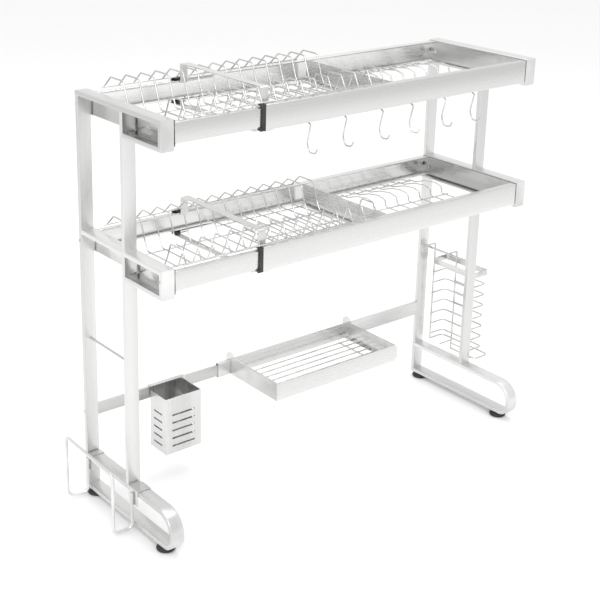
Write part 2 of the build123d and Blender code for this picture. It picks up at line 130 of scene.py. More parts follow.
def circle(radius, sides=12):
    """Points at even angles round a circle."""
    angle = np.linspace(0, 2 * math.pi, sides, endpoint=False)
    return np.stack([np.cos(angle), np.sin(angle)], 1) * radius


def rounded_box(width, height, radius, steps=3):
    """Rectangle whose corners are quarter circles."""
    w, h = width / 2, height / 2
    corners = [(-w, -h), (w, -h), (w, h), (-w, h)]
    return round_corners(corners, radius, steps, True)


def carry(path, section, normal, scale=None):
    """Ring n is the path's point n plus the section's first coordinate along the
    normal and its second along the mitre direction, which is square to the path
    on a straight run and halves the turn at a corner."""
    path = np.asarray(path, float)
    normal = np.asarray(normal, float)
    runs = np.diff(path, axis=0)
    runs = runs / np.linalg.norm(runs, axis=1)[:, None]
    sides = np.cross(runs, normal)
    sides = sides / np.linalg.norm(sides, axis=1)[:, None]
    first = np.concatenate([sides[:1], sides])
    second = np.concatenate([sides, sides[-1:]])
    mitre = (first + second) / (1 + np.sum(first * second, 1))[:, None]
    size = np.ones(len(path)) if scale is None else np.asarray(scale, float)
    a = section[None, :, 0, None] * size[:, None, None] * normal
    b = section[None, :, 1, None] * size[:, None, None] * mitre[:, None, :]
    return path[:, None, :] + a + b


def skin(rings, loop=False):
    """Closed surface over rings: quads from ring to ring, and one face on each
    end, or quads from the last ring back to the first."""
    n, m = rings.shape[:2]
    grid = np.arange(n * m).reshape(n, m)
    low = grid if loop else grid[:-1]
    high = np.roll(grid, -1, 0) if loop else grid[1:]
    quads = np.stack([low, np.roll(low, -1, 1), np.roll(high, -1, 1), high], 2).reshape(-1, 4)
    faces = quads.tolist()
    if not loop:
        faces.append(grid[0][::-1].tolist())
        faces.append(grid[-1].tolist())
    return outward(rings.reshape(-1, 3), faces)


def outward(verts, faces):
    """Turn the faces over if the volume summed from their fans is negative."""
    total = 0.0
    for face in faces:
        p = verts[face]
        total += np.sum(np.cross(p[1:-1] - p[0], p[2:] - p[0]) @ p[0])
    if total < 0:
        faces = [face[::-1] for face in faces]
    return verts, faces


def wire(points, diameter=WIRE, bend=4.0, normal=X_AXIS, sides=12, steps=5):
    """Round wire: a circle carried along the rounded path, its two ends domed by
    rings that shrink as the cosine while they advance as the sine. A wire that
    runs straight along the normal is turned to stand on +Z instead."""
    path = round_corners(points, bend, steps)
    radius = diameter / 2
    span = path[-1] - path[0]
    if abs(span) @ normal > 0.99 * np.linalg.norm(span):
        normal = Z_AXIS
    lift = np.radians([75.0, 50.0, 25.0])
    ends = radius * (1 - np.sin(lift))[:, None]
    head = (path[1] - path[0]) / np.linalg.norm(path[1] - path[0])
    tail = (path[-2] - path[-1]) / np.linalg.norm(path[-2] - path[-1])
    inner_head = path[0] + head * radius
    inner_tail = path[-1] + tail * radius
    path = np.concatenate([
        path[0] + head * ends, inner_head[None], path[1:-1], inner_tail[None],
        (path[-1] + tail * ends)[::-1],
    ])
    ones = np.ones(len(path) - 6)
    scale = np.concatenate([np.cos(lift), ones, np.cos(lift)[::-1]])
    return skin(carry(path, circle(radius, sides), normal, scale))


def tube(points, normal, width=TUBE_W, thick=TUBE_T, edge=TUBE_R, bend=0.0, steps=5):
    """Flat tube with rounded edges: its width along the normal."""
    path = round_corners(points, bend, steps)
    return skin(carry(path, rounded_box(width, thick, edge), normal))


def strip(points, thick=SHEET, radius=1.6, steps=4):
    """Outline of bent sheet: a centre line with rounded bends, moved half the
    thickness to one side, and back along the other side."""
    line = round_corners(points, radius, steps)
    runs = np.diff(line, axis=0)
    runs = runs / np.linalg.norm(runs, axis=1)[:, None]
    turned = np.stack([-runs[:, 1], runs[:, 0]], 1)
    first = np.concatenate([turned[:1], turned])
    second = np.concatenate([turned, turned[-1:]])
    aside = (first + second) / (1 + np.sum(first * second, 1))[:, None] * thick / 2
    return np.concatenate([line + aside, (line - aside)[::-1]])


def sleeve(path, outer, inner, normal):
    """Hollow bar: the outer section carried out along the path and the inner
    section carried back, joined at both mouths."""
    out = carry(path, outer, normal)
    back = carry(path, inner, normal)[::-1]
    return skin(np.concatenate([out, back]), loop=True)


def bent_rod(points, diameter, bend, sides):
    """Round rod bent in space: each ring is square to the mean of the two runs at
    its point, turned by a direction that none of the runs is parallel to."""
    path = round_corners(points, bend, 8)
    runs = np.diff(path, axis=0)
    runs = runs / np.linalg.norm(runs, axis=1)[:, None]
    along = np.concatenate([runs[:1], runs[:-1] + runs[1:], runs[-1:]])
    along = along / np.linalg.norm(along, axis=1)[:, None]
    u = np.cross(along, (1.0, 1.0, 1.0))
    u = u / np.linalg.norm(u, axis=1)[:, None]
    v = np.cross(along, u)
    ring = circle(diameter / 2, sides)
    across = ring[None, :, 0, None] * u[:, None] + ring[None, :, 1, None] * v[:, None]
    return skin(path[:, None] + across)


def lathe(profile, centre, axis="Z", sides=48):
    """Profile of (radius, height) points turned about an axis through the centre."""
    profile = np.asarray(profile, float)
    angle = np.linspace(0, 2 * math.pi, sides, endpoint=False)
    r = profile[:, 0, None]
    height = profile[:, 1, None] + 0 * angle
    ring = np.stack([r * np.cos(angle), r * np.sin(angle), height], 2)
    if axis == "X":
        ring = ring[..., [2, 0, 1]]
    if axis == "Y":
        ring = ring[..., [1, 2, 0]]
    return skin(ring + np.asarray(centre, float))


def bead(centre, radii, sides=10, rows=5):
    """Ellipsoid: radii times the cosine and sine of latitude and longitude."""
    lat = np.radians(np.linspace(-80, 80, rows))[:, None]
    lon = np.linspace(0, 2 * math.pi, sides, endpoint=False)
    height = np.sin(lat) + 0 * lon
    ball = np.stack([np.cos(lat) * np.cos(lon), np.cos(lat) * np.sin(lon), height], 2)
    return skin(ball * np.asarray(radii, float) + np.asarray(centre, float))


SMOOTH_ANGLE = math.radians(38)


def piece(name, parts, body, material, nodes=()):
    """One object from closed surfaces, in metres, smooth except at sharp edges."""
    verts = []
    faces = []
    start = 0
    for points, polygons in parts:
        verts.append(points)
        faces += [[v + start for v in face] for face in polygons]
        start += len(points)
    mesh = bpy.data.meshes.new(name)
    mesh.from_pydata((np.concatenate(verts) * MM).tolist(), [], faces)
    mesh.polygons.foreach_set("use_smooth", np.ones(len(faces), bool))
    mesh.set_sharp_from_angle(angle=SMOOTH_ANGLE)
    mesh.update()
    mesh.materials.append(material)
    obj = bpy.data.objects.new(name, mesh)
    bpy.context.scene.collection.objects.link(obj)
    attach(obj, body)
    if nodes:
        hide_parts(*nodes)
    return obj


# =====================================================================
# Materials
# =====================================================================


def new_group(name, inputs, outputs):
    """Empty shader node group with named float and vector sockets."""
    group = bpy.data.node_groups.new(name, "ShaderNodeTree")
    for label, kind in inputs:
        group.interface.new_socket(label, in_out="INPUT", socket_type="NodeSocket" + kind)
    for label, kind in outputs:
        group.interface.new_socket(label, in_out="OUTPUT", socket_type="NodeSocket" + kind)
    return group, group.nodes.new("NodeGroupInput"), group.nodes.new("NodeGroupOutput")


def node(tree, kind, **values):
    """A shader node with its properties set."""
    made = tree.nodes.new("ShaderNode" + kind)
    for key, value in values.items():
        setattr(made, key, value)
    return made


def grain_group():
    """Brushing: noise drawn out along one direction, fine streaks over broad ones,
    and a slow cloud that varies the shade from place to place."""
    group, given, out = new_group(
        "brushed_grain",
        [("Vector", "Vector"), ("Fine", "Float"), ("Cloud", "Float")],
        [("Streaks", "Float"), ("Shade", "Float")],
    )
    fine = node(group, "TexNoise", noise_dimensions="3D")
    fine.inputs["Detail"].default_value = 4.0
    fine.inputs["Roughness"].default_value = 0.6
    group.links.new(given.outputs["Vector"], fine.inputs["Vector"])
    group.links.new(given.outputs["Fine"], fine.inputs["Scale"])
    cloud = node(group, "TexNoise", noise_dimensions="3D")
    cloud.inputs["Detail"].default_value = 2.0
    group.links.new(given.outputs["Vector"], cloud.inputs["Vector"])
    group.links.new(given.outputs["Cloud"], cloud.inputs["Scale"])
    group.links.new(fine.outputs["Fac"], out.inputs["Streaks"])
    group.links.new(cloud.outputs["Fac"], out.inputs["Shade"])
    return group


GRAIN = grain_group()


def ramp(tree, source, low, high, start=0.3, stop=0.7):
    """A value stretched from its middle range onto low to high."""
    made = node(tree, "MapRange")
    made.inputs["From Min"].default_value = start
    made.inputs["From Max"].default_value = stop
    made.inputs["To Min"].default_value = low
    made.inputs["To Max"].default_value = high
    tree.links.new(source, made.inputs["Value"])
    return made.outputs["Result"]


def surface(name, fine, cloud, dark, light, rough, bump, depth, scale=(1, 1, 1)):
    """Grained material: the shade runs from dark to light, and the streaks set the
    roughness and a shallow relief. The pattern is stretched by the scale."""
    material = bpy.data.materials.new(name)
    material.use_nodes = True
    tree = material.node_tree
    shader = tree.nodes["Principled BSDF"]
    coords = node(tree, "TexCoord")
    mapping = node(tree, "Mapping")
    mapping.inputs["Scale"].default_value = scale
    tree.links.new(coords.outputs["Object"], mapping.inputs["Vector"])
    grain = node(tree, "Group", node_tree=GRAIN)
    grain.inputs["Fine"].default_value = fine
    grain.inputs["Cloud"].default_value = cloud
    tree.links.new(mapping.outputs["Vector"], grain.inputs["Vector"])
    blend = node(tree, "Mix", data_type="RGBA")
    blend.inputs["A"].default_value = (*dark, 1)
    blend.inputs["B"].default_value = (*light, 1)
    shade = ramp(tree, grain.outputs["Shade"], 0.0, 1.0)
    tree.links.new(shade, blend.inputs["Factor"])
    tree.links.new(blend.outputs["Result"], shader.inputs["Base Color"])
    roughness = ramp(tree, grain.outputs["Streaks"], *rough)
    tree.links.new(roughness, shader.inputs["Roughness"])
    relief = node(tree, "Bump")
    relief.inputs["Strength"].default_value = bump
    relief.inputs["Distance"].default_value = depth
    tree.links.new(grain.outputs["Streaks"], relief.inputs["Height"])
    tree.links.new(relief.outputs["Normal"], shader.inputs["Normal"])
    return material


ACROSS_GRAIN = 700.0
ALONG_GRAIN = 9.0


def steel(name, along, dark, light, rough, bump, cloud=0.02):
    """Brushed stainless steel whose streaks run along one axis: the axes across
    the streaks are stretched many times more than the one along them."""
    stretch = [ACROSS_GRAIN] * 3
    stretch["XYZ".index(along)] = ALONG_GRAIN
    material = surface(name, 1.0, cloud, dark, light, rough, bump, 0.00004, stretch)
    material.node_tree.nodes["Principled BSDF"].inputs["Metallic"].default_value = 1.0
    return material


def moulded(name, dark, light, rough, grain):
    """Moulded black plastic or rubber with a fine grain and a slight mottle."""
    return surface(name, grain, grain * 0.04, dark, light, rough, 0.3, 0.0001)


def grey(value, blue_drop=0.005):
    """Colour of steel: a grey whose blue is a touch lower."""
    return (value, value, value - blue_drop)


TUBE = (grey(0.60), grey(0.80), (0.24, 0.40), 0.35)
tube_up = steel("tube_brushed_upright", "Z", *TUBE)
tube_deep = steel("tube_brushed_deep", "Y", *TUBE)
tube_long = steel("tube_brushed_long", "X", *TUBE)
# Darker copy of the tube steel for the stretcher tube inside its sleeve: painted shade.
tube_painted_shade = steel("tube_brushed_painted_shade", "X", grey(0.46), grey(0.64), (0.24, 0.40), 0.35)
PLATE = (grey(0.56), grey(0.76, 0.01))
sheet_long = steel("sheet_brushed_long", "X", *PLATE, (0.20, 0.34), 0.3)
sheet_deep = steel("sheet_brushed_deep", "Y", *PLATE, (0.20, 0.34), 0.3)
sheet_up = steel("sheet_brushed_upright", "Z", *PLATE, (0.22, 0.36), 0.3)
strap_steel = steel("strap_brushed", "Y", *PLATE, (0.22, 0.34), 0.25)
# Copy of the sheet steel, lighter than the outer sheet, for the inner faces of the back rails and
# crossbar: painted light.
sheet_painted_light = steel("sheet_brushed_painted_light", "X", grey(0.58), grey(0.88, 0.01), (0.16, 0.30), 0.3)
# Darker copy of the sheet steel whose broad dark and light bands stand for the end walls' shade and
# reflections: painted shade and painted reflection.
sheet_painted_shade = steel("sheet_brushed_painted_shade", "Y", grey(0.34), grey(0.80, 0.01), (0.12, 0.26), 0.3)
weld_steel = steel("weld_dressed", "X", grey(0.55, 0.01), grey(0.80, 0.01), (0.30, 0.50), 0.5)
wire_steel = steel("wire_drawn", "Y", grey(0.46), grey(0.70, 0.01), (0.12, 0.24), 0.15, 0.05)
rod_steel = steel("rod_satin", "Y", grey(0.66), grey(0.84, 0.01), (0.28, 0.42), 0.2)
bolt_steel = steel("bolt_turned", "X", grey(0.50, 0), grey(0.75, 0.01), (0.15, 0.30), 0.2)
black_plastic = moulded("bush_plastic", [0.012] * 3, [0.030] * 3, (0.35, 0.55), 900.0)
black_rubber = moulded("foot_rubber", [0.010] * 3, [0.024] * 3, (0.45, 0.70), 700.0)


def dress(names, material):
    """Give CAD nodes a better material."""
    for name in names:
        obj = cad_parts[name]
        obj.data.materials.clear()
        obj.data.materials.append(material)


# =====================================================================
# Side frames
# =====================================================================
FOOT_BENDS = (30, 44)
SEAM_PROUD = 0.25
SEAM_RINGS = ((-0.9, 0.97), (-0.5, 1.0), (0.5, 1.0), (0.9, 0.97))


def side_frame(side, name):
    """Posts and loops of one end: the tube's section carried along each bar."""
    x = side * LEVEL
    body = name + "_half"

    def bar(label, points, material, bend=0.0, steps=5):
        path = [(x, y, z) for y, z in points]
        part = tube(path, X_AXIS, bend=bend, steps=steps)
        piece(label + "_tube", [part], body, material, [label])

    back_y = BACK - HALF_T
    bar(name + "_back_post", [(back_y, FLOOR_GAP), (back_y, HEIGHT - TUBE_T)], tube_up)
    mid_y = MID - HALF_T
    bar(name + "_lower_mid_post", [(mid_y, FOOT_TOP), (mid_y, LOWER - TUBE_T)], tube_up)
    bar(name + "_upper_mid_post", [(mid_y, LOWER), (mid_y, HEIGHT - TUBE_T)], tube_up)
    for label, top, rear in (("_upper_loop", HEIGHT, BACK), ("_lower_loop", LOWER, POST)):
        low = top - LOOP_DROP + HALF_T
        corner = FRONT + HALF_T
        points = [(rear, top - HALF_T), (corner, top - HALF_T), (corner, low), (MID - TUBE_T, low)]
        bar(name + label, points, tube_deep)
    low = FLOOR_GAP + HALF_T
    high = FOOT_TOP - HALF_T
    nose = NOSE + HALF_T
    points = [(POST, low), (nose, low), (nose, high), (POST, high)]
    bends = [0, FOOT_BENDS[0] - HALF_T, FOOT_BENDS[1] - HALF_T, 0]
    bar(name + "_foot_loop", points, tube_deep, bends, 14)

    seams = []
    joints = [
        (mid_y, FOOT_TOP), (mid_y, LOWER), (mid_y, LOWER - TUBE_T), (mid_y, HEIGHT - TUBE_T),
        (back_y, HEIGHT - TUBE_T),
    ]
    ring = rounded_box(TUBE_W + 2 * SEAM_PROUD, TUBE_T + 2 * SEAM_PROUD, TUBE_R)
    for y, z in joints:
        path = [(x, y, z + rise) for rise, _ in SEAM_RINGS]
        seams.append(skin(carry(path, ring, X_AXIS, [size for _, size in SEAM_RINGS])))
    piece(name + "_weld_seams", seams, body, weld_steel)

    lo, hi = limits(name + "_tie_rod")
    rod_z = (lo[2] + hi[2]) / 2
    parts = [wire([(x, lo[1], rod_z), (x, hi[1], rod_z)], hi[2] - lo[2])]
    parts += [bead((x, y, rod_z), (3.3, 1.0, 3.3)) for y in (lo[1], hi[1])]
    piece(name + "_tie_wire", parts, body, wire_steel, [name + "_tie_rod"])


side_frame(-1, "left")
side_frame(1, "right")

# ---- levelling feet: a domed pad on a stud, both in black rubber ----
PAD_OUTLINE = [
    (0.5, 0), (14.2, 0), (15, 0.4), (17.6, 1.6), (18.4, 2.6), (18.5, 3.6), (18.3, 4.8),
    (17.4, 6.6), (15.6, 8.4), (13.2, 9.7), (11, 10.5), (9.4, 10.9), (7, 11.0), (4, 11.1), (0.5, 11.1),
]
STUD_OUTLINE = [(0.5, 10.5), (4, 10.5), (4, 16.0), (3.6, 16.2), (0.5, 16.2)]
for label in ("left_front_foot", "left_back_foot", "right_front_foot", "right_back_foot"):
    lo, hi = limits(label)
    centre = ((lo[0] + hi[0]) / 2, (lo[1] + hi[1]) / 2, 0)
    pads = [lathe(PAD_OUTLINE, centre), lathe(STUD_OUTLINE, centre)]
    piece(label + "_pad", pads, label, black_rubber, [label])

# =====================================================================
# Trays
# =====================================================================
# The back rails take the sheet with painted light for their inner faces.
RAIL_MATERIALS = {"front": sheet_long, "back": sheet_painted_light}


def along_x(section, x0, x1):
    """A section given in Y and Z carried from one X to another."""
    return skin(carry([(x0, 0, 0), (x1, 0, 0)], section, Y_AXIS))


def along_y(section, y0, y1):
    """A section given in X and Z carried from one Y to another."""
    return skin(carry([(0, max(y0, y1), 0), (0, min(y0, y1), 0)], section, X_AXIS))


def lipped(web, way, depth, low, high):
    """Centre line of a lipped channel: lip, flange, web, flange and lip."""
    inside = web + way * HALF_SHEET
    edge = web + way * (depth - HALF_SHEET)
    low_mid = low + HALF_SHEET
    high_mid = high - HALF_SHEET
    return [
        (edge, low + LIP), (edge, low_mid), (inside, low_mid), (inside, high_mid),
        (edge, high_mid), (edge, high - LIP),
    ]


def ledged(web, ledge, low, top):
    """Centre line of a wall with a lipped ledge turned in at its foot."""
    foot = low + HALF_SHEET
    return [(ledge, low + LIP), (ledge, foot), (web, foot), (web, top)]


def sheet_piece(label, parts, body, material, nodes):
    """A piece of sheet steel that stands for its CAD nodes."""
    piece(label, parts, body, material, nodes)


def rails(tier, place, web, way):
    """Sleeve rail with its collar, and the rail that slides in it."""
    top = TOPS[tier]
    material = RAIL_MATERIALS[place]
    node_name = tier + "_" + place + "_sleeve"
    lo, hi = limits(node_name)
    mouth, end = lo[0], hi[0]
    channel = along_x(strip(lipped(web, way, SLEEVE_D, lo[2] + 2, top)), mouth, end)
    under = lo[2] + COLLAR_T / 2
    over = top + 0.05
    inside = web + way * SLEEVE_D
    outside = web - way * 0.25
    line = [(inside, under), (outside, under), (outside, over), (inside, over)]
    collar = along_x(strip(line, COLLAR_T, 2.0), mouth, mouth + COLLAR)
    sheet_piece(node_name + "_sheet", [channel, collar], "right_half", material, [node_name])
    node_name = tier + "_" + place + "_rail"
    lo, hi = limits(node_name)
    line = lipped(web + way * RAIL_SET, way, RAIL_D, lo[2], hi[2])
    part = along_x(strip(line), lo[0], hi[0])
    sheet_piece(node_name + "_sheet", [part], "left_half", material, [node_name])


def end_wall(tier, side, name):
    """Tray end: web, inner ledge with its lip, and the foot that rests on the loop."""
    node_name = tier + "_" + name + "_end_wall"
    lo, hi = limits(node_name)
    top = hi[2]
    low = top - SLEEVE_H
    web = side * (TRAY_END - HALF_SHEET)
    ledge = side * (TRAY_END - SHEET - LEDGE + HALF_SHEET)
    line = ledged(web, ledge, low, top)
    front_edge = FRONT + SLEEVE_D
    back_edge = BACK - SLEEVE_D
    parts = [along_y(strip(line), front_edge, back_edge)]
    flat = strip([(web, low), (web, top)])
    parts += [along_y(flat, lo[1], front_edge), along_y(flat, back_edge, hi[1])]
    rest = top + TRAY_DROP - LOOP_DROP + TUBE_T + 0.4 + HALF_SHEET
    foot_line = [(side * TRAY_END, rest), (side * (OUT - 12), rest)]
    parts.append(along_y(strip(foot_line), FRONT + TUBE_T + 2, MID - TUBE_T - 2))
    # End walls take the sheet with painted shade and painted reflection.
    sheet_piece(node_name + "_sheet", parts, name + "_half", sheet_painted_shade, [node_name])


def divider(tier):
    """Wall between the plate rack and the bowl rack, with a ledge like an end wall's."""
    top = TOPS[tier]
    lo, hi = limits(tier + "_divider")
    web = hi[0] - HALF_SHEET
    ledge = lo[0] + HALF_SHEET
    part = along_y(strip(ledged(web, ledge, top - SLEEVE_H, top)), lo[1], hi[1])
    sheet_piece(tier + "_divider_sheet", [part], "right_half", sheet_deep, [tier + "_divider"])


def bridge_strap(tier):
    """Band bent over the front and back rails at the mouths of the sleeves."""
    lo, hi = limits(tier + "_bridge_strap")
    half = STRAP_T / 2
    front = lo[1] + half
    back = hi[1] - half
    roof = hi[2] - half
    line = [(front, lo[2]), (front, roof), (back, roof), (back, lo[2])]
    part = along_x(strip(line, STRAP_T, 4.5, 6), lo[0], hi[0])
    node_name = tier + "_bridge_strap"
    sheet_piece(tier + "_strap_sheet", [part], "right_half", strap_steel, [node_name])


CROSSBAR_FRONT = FRONT + 12
CROSSBAR_SLOT = (7, 20)
SLOT_PLACE = BACK - 102


def crossbar(tier):
    """Flat bar under the sleeves, with a slot through it."""
    lo, hi = limits(tier + "_crossbar")
    lo[1] = CROSSBAR_FRONT
    middle = (lo + hi) / 2
    plate = rounded_box(hi[0] - lo[0], hi[1] - lo[1], 1.5)
    slot = rounded_box(*CROSSBAR_SLOT, 3.4) + (0, SLOT_PLACE - middle[1])
    path = [(middle[0], middle[1], lo[2]), (middle[0], middle[1], hi[2])]
    part = sleeve(path, plate, slot, X_AXIS)
    node_name = tier + "_crossbar"
    # The crossbar takes the sheet with painted light.
    sheet_piece(node_name + "_plate", [part], "right_half", sheet_painted_light, [node_name])


def guide_bushes(tier):
    """Black C-shaped bushes in the mouths of the sleeves, each with two clips."""
    top = TOPS[tier]
    low = top - SLEEVE_H
    mouth = limits(tier + "_front_sleeve")[0][0]
    parts = []
    for web, way in ((FRONT, 1), (BACK, -1)):
        inner = web + way * 1.2
        reach = web + way * (SLEEVE_D - 1)
        line = [(reach, low + 0.6), (inner, low + 0.6), (inner, top - 0.6), (reach, top - 0.6)]
        parts.append(along_x(strip(line, 3.2, 3.0), mouth - 7.5, mouth + 2))
        for z0, z1 in ((top - 6, top + 0.9), (low - 0.9, low + 6)):
            clip = rounded_box(z1 - z0, 3.6, 1.2)[:, ::-1] + (web + way * 1.3, (z0 + z1) / 2)
            parts.append(along_x(clip, mouth - 11, mouth + 1))
    nodes = [tier + "_guide_bushes"]
    piece(tier + "_bush_mouldings", parts, "right_half", black_plastic, nodes)


for tier in TOPS:
    for place, web, way in (("front", FRONT, 1), ("back", BACK, -1)):
        rails(tier, place, web, way)
    end_wall(tier, -1, "left")
    end_wall(tier, 1, "right")
    divider(tier)
    bridge_strap(tier)
    crossbar(tier)
    guide_bushes(tier)

# =====================================================================
# Wire racks
# =====================================================================
PLATE_WIRES = 15
PLATE_RISE = 27
PLATE_FLOOR = 31
BOWL_WIRES = 7
BOWL_HUMP = 19
CUP_HUMP = 3
WELD = 0.8
BAR_BEAD = (2.1, 2.1, 1.2)


def plate_rack(tier):
    """Row of bent plate wires welded to four long wires."""
    node_name = tier + "_plate_rack"
    lo, hi = limits(node_name)
    top = TOPS[tier]
    profile = [
        (BACK - 12, 3), (BACK - 38, PLATE_RISE), (BACK - 81, PLATE_RISE), (BACK - 96, -12),
        (BACK - 106, -PLATE_FLOOR), (FRONT + 78, -PLATE_FLOOR), (FRONT + 63, 0),
        (FRONT + 52, PLATE_RISE + 1), (FRONT + 17, PLATE_RISE + 1), (FRONT + 4.2, 3.7),
    ]
    bar_z = -PLATE_FLOOR - WIRE + WELD
    bars = [profile[0], profile[-1], (BACK - 112, bar_z), (FRONT + 88, bar_z)]
    parts = [wire([(lo[0], y, top + z), (hi[0], y, top + z)]) for y, z in bars]
    for x in np.linspace(lo[0] + 6, hi[0] - 6, PLATE_WIRES):
        parts.append(wire([(x, y, top + z) for y, z in profile], bend=5))
        for y, z in bars[:2]:
            parts.append(bead((x, y, top + z), (2.4, 2.1, 1.9)))
        for y, z in bars[2:]:
            parts.append(bead((x, y, top + z + 1.2), BAR_BEAD))
    piece(node_name + "_wires", parts, node_name, wire_steel, [node_name])


def low_rack(tier, kind, hump, body):
    """Low rack of humped wires lying on three long wires."""
    node_name = tier + kind
    lo, hi = limits(node_name)
    rest = TOPS[tier] - SLEEVE_H + LIP + WIRE / 2 + 0.4
    back_edge = BACK - SLEEVE_D
    profile = [
        (back_edge - 1, 0), (BACK - 35, 0), (BACK - 44, 0.27 * hump), (BACK - 62, 0.27 * hump),
        (BACK - 92, 0.8 * hump), (BACK - 122, hump), (BACK - 141, 0.8 * hump), (BACK - 146, 0),
        (BACK - 196, 0), (FRONT + 62, 0.37 * hump), (FRONT + 48, 0.37 * hump), (FRONT + 34, 0),
        (FRONT + SLEEVE_D + 4.6, 0),
    ]
    bar_z = rest - WIRE + WELD
    bars = (BACK - 34, BACK - 151, BACK - 186)
    parts = [wire([(lo[0], y, bar_z), (hi[0], y, bar_z)]) for y in bars]
    for x in np.linspace(lo[0] + 12, hi[0] - 14, BOWL_WIRES):
        parts.append(wire([(x, y, rest + z) for y, z in profile], bend=2.5))
        for y in bars:
            parts.append(bead((x, y, bar_z + 1.2), BAR_BEAD))
    piece(node_name + "_wires", parts, body, wire_steel, [node_name])


for tier in TOPS:
    plate_rack(tier)
    low_rack(tier, "_bowl_rack", BOWL_HUMP, tier + "_bowl_rack")
    low_rack(tier, "_cup_rack", CUP_HUMP, "right_half")


def hanging_hook(number):
    """J hook hung from the lip of the upper front rail."""
    node_name = "hook_" + str(number)
    lo, hi = limits(node_name)
    x = (lo[0] + hi[0]) / 2
    lip = TOPS["upper"] - SLEEVE_H + LIP
    edge = FRONT + SLEEVE_D
    profile = [
        (-5, -1.2), (-5, 2), (2.2, 2), (2.2, -6.5), (-8, -11), (1, -48), (-6, -65), (-24, -63),
        (-29, -53),
    ]
    bends = [0, 1.6, 1.6, 2, 2.5, 14, 9, 8, 0]
    points = [(x, edge + y, lip + z) for y, z in profile]
    part = wire(points, bend=bends, sides=16, steps=10)
    piece(node_name + "_wire", [part], node_name, wire_steel, [node_name])


for number in range(1, 7):
    hanging_hook(number)

# =====================================================================
# Stretcher, cutlery cup and soap tray
# =====================================================================


def hollow_bar(node_name, body, material):
    """Rectangular tube with rounded edges, open at its ends."""
    lo, hi = limits(node_name)
    width = hi[2] - lo[2]
    thick = hi[1] - lo[1]
    centre = (lo + hi) / 2
    path = [(lo[0], centre[1], centre[2]), (hi[0], centre[1], centre[2])]
    outer = rounded_box(thick, width, 1.4)
    inner = rounded_box(thick - 2 * SHEET, width - 2 * SHEET, 0.6)
    part = sleeve(path, outer, inner, Y_AXIS)
    piece(node_name + "_bar", [part], body, material, [node_name])


hollow_bar("stretcher_sleeve", "right_half", tube_long)
# The inner stretcher tube takes the tube steel with painted shade.
hollow_bar("stretcher_tube", "left_half", tube_painted_shade)

RIM_SET = 0.8
CUP_TOP = 185
TRAY_TOP = 201
HOOK_PLATE = 6
GRID_WIRES = 7
GRID_PITCH = 20


def rolled_rim(name, body, left, right, front, rear, z, diameter):
    """Round edge along the left, front and right of a sheet box."""
    corners = [(left, rear, z), (left, front, z), (right, front, z), (right, rear, z)]
    part = wire(corners, diameter, 2.0, Z_AXIS, 8)
    piece(name, [part], body, wire_steel)


def cutlery_cup():
    """The CAD cup's sheet body keeps its shape and gets a rolled rim."""
    dress(["utensil_cup"], sheet_up)
    lo, hi = limits("utensil_cup")
    left = lo[0] + RIM_SET
    right = hi[0] - RIM_SET
    rear = POST - 0.5 - 1.4
    rim_z = CUP_TOP - 0.6
    rolled_rim("cup_rolled_rim", "utensil_cup", left, right, lo[1] + RIM_SET, rear, rim_z, 1.5)


def soap_tray():
    """The CAD frame keeps its shape and gets a rim, and wires make its floor."""
    dress(["soap_tray_frame"], sheet_long)
    lo, hi = limits("soap_tray_grid")
    row_z = hi[2] - WIRE / 2
    cross_z = lo[2] + WIRE / 2
    rows = [lo[1] + 8 + GRID_PITCH * n for n in range(GRID_WIRES)]
    parts = [wire([(lo[0], y, row_z), (hi[0], y, row_z)]) for y in rows]
    for x in (lo[0] + 37, hi[0] - 37):
        parts.append(wire([(x, lo[1], cross_z), (x, hi[1], cross_z)]))
        parts += [bead((x, y, row_z - 1.2), (2.2, 2.2, 1.3)) for y in rows]
    piece("soap_tray_grid_wires", parts, "soap_tray", wire_steel, ["soap_tray_grid"])

    lo, hi = limits("soap_tray_frame")
    left = lo[0] + RIM_SET
    right = hi[0] - HOOK_PLATE - RIM_SET
    rear = POST - 0.6 - 14
    rim_z = TRAY_TOP - 0.4
    rolled_rim("soap_tray_rim", "soap_tray", left, right, lo[1] + RIM_SET, rear, rim_z, 1.6)


cutlery_cup()
soap_tray()

# =====================================================================
# Board rack and lid hoop
# =====================================================================
RACK_WIRE = 3.5
RACK_LOOPS = 7
RACK_PITCH = 26.6
RACK_LOW = 112
BAND_HEIGHTS = (295, 308)
BAND_T = 1.5


